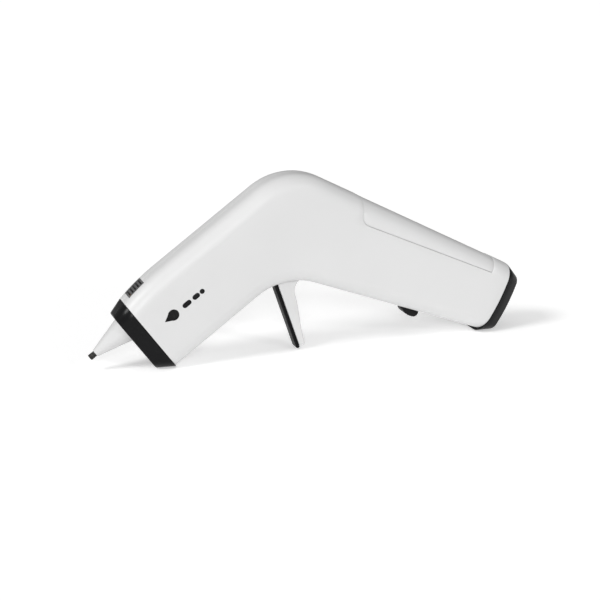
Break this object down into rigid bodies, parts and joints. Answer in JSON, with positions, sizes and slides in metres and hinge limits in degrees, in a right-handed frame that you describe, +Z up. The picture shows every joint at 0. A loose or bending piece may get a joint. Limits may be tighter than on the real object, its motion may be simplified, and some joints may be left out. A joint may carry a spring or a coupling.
{
  "type": "cordless glue gun",
  "caption": "Cordless hot-melt glue gun with a bent white two-part body, black end pieces it stands on, trigger, cone nozzle, lidded battery bay and slide switch.",
  "frame": {"origin": "centre of the footprint, on the table that the gun stands on", "axes": "+X along the gun from nozzle to rear cap, +Y across it away from the screwless side, +Z up"},
  "size_m": [0.243, 0.0246, 0.0969],
  "materials": {
    "white_shell": "satin moulded",
    "black_trim": "satin moulded",
    "black_grip": "fine texture",
    "vent_grey": "satin moulded",
    "nozzle_plastic": "satin, heat-resistant",
    "tip_metal": "dark, heat-stained",
    "chamber_alloy": "machined",
    "heater_ceramic": "plain",
    "spring_steel": "bright",
    "heatproof_plastic": "moulded",
    "silicone": "soft",
    "tube_plastic": "smooth",
    "carriage_plastic": "moulded",
    "cell_wrap": "shrink wrap",
    "board": "solder mask"
  },
  "bodies": {
    "body": {"left_shell": "white_shell", "right_shell": "white_shell", "front_bezel": "black_trim", "rear_cap": "black_trim", "vent_grille": "vent_grey", "nozzle_cover": "nozzle_plastic", "nozzle_tip": "tip_metal", "melt_chamber": "chamber_alloy", "heater_plates": "heater_ceramic", "heater_clip": "spring_steel", "front_bulkhead": "heatproof_plastic", "rear_bulkhead": "heatproof_plastic", "inlet_sleeve": "silicone", "guide_tube": "tube_plastic", "guide_rod": "spring_steel", "return_spring": "spring_steel", "trigger_pin": "spring_steel", "battery_cell": "cell_wrap", "battery_tray": "black_trim", "battery_spring": "spring_steel", "battery_contact": "spring_steel", "control_board": "board", "charge_socket": "spring_steel", "power_switch": "black_trim", "shell_screws": "spring_steel"},
    "trigger": {"trigger_lever": "white_shell", "trigger_pad": "black_grip", "drive_pins": "spring_steel"},
    "carriage": {"feed_carriage": "carriage_plastic", "claw_pin": "spring_steel"},
    "claw": {"feed_claw": "spring_steel"},
    "lid": {"battery_lid": "white_shell"},
    "switch": {"switch_knob": "black_trim"}
  },
  "joints": [
    {"name": "trigger_pull", "type": "hinge", "parent": "body", "child": "trigger", "pos_m": [-0.00631, 0, 0.0497], "axis": [0, -1, 0], "range_deg": [0, 18], "stiffness_Nm_per_rad": 0.2, "springref_deg": -5.73},
    {"name": "carriage_feed", "type": "slide", "parent": "body", "child": "carriage", "axis": [-0.8111, 0, -0.585], "range_m": [0, 0.0057], "deforming": ["return_spring"]},
    {"name": "claw_grip", "type": "hinge", "parent": "carriage", "child": "claw", "pos_m": [-0.05611, 0, 0.06422], "axis": [0, -1, 0], "range_deg": [0, 5], "stiffness_Nm_per_rad": 0.002},
    {"name": "lid_lift", "type": "slide", "parent": "body", "child": "lid", "axis": [0.454, 0, 0.891], "range_m": [0, 0.016]},
    {"name": "switch_slide", "type": "slide", "parent": "body", "child": "switch", "axis": [0.9385, 0, -0.3453], "range_m": [0, 0.0035]}
  ],
  "couplings": [
    {"joint": "carriage_feed", "follows": "trigger_pull", "m_per_rad": 0.017926}
  ]
}
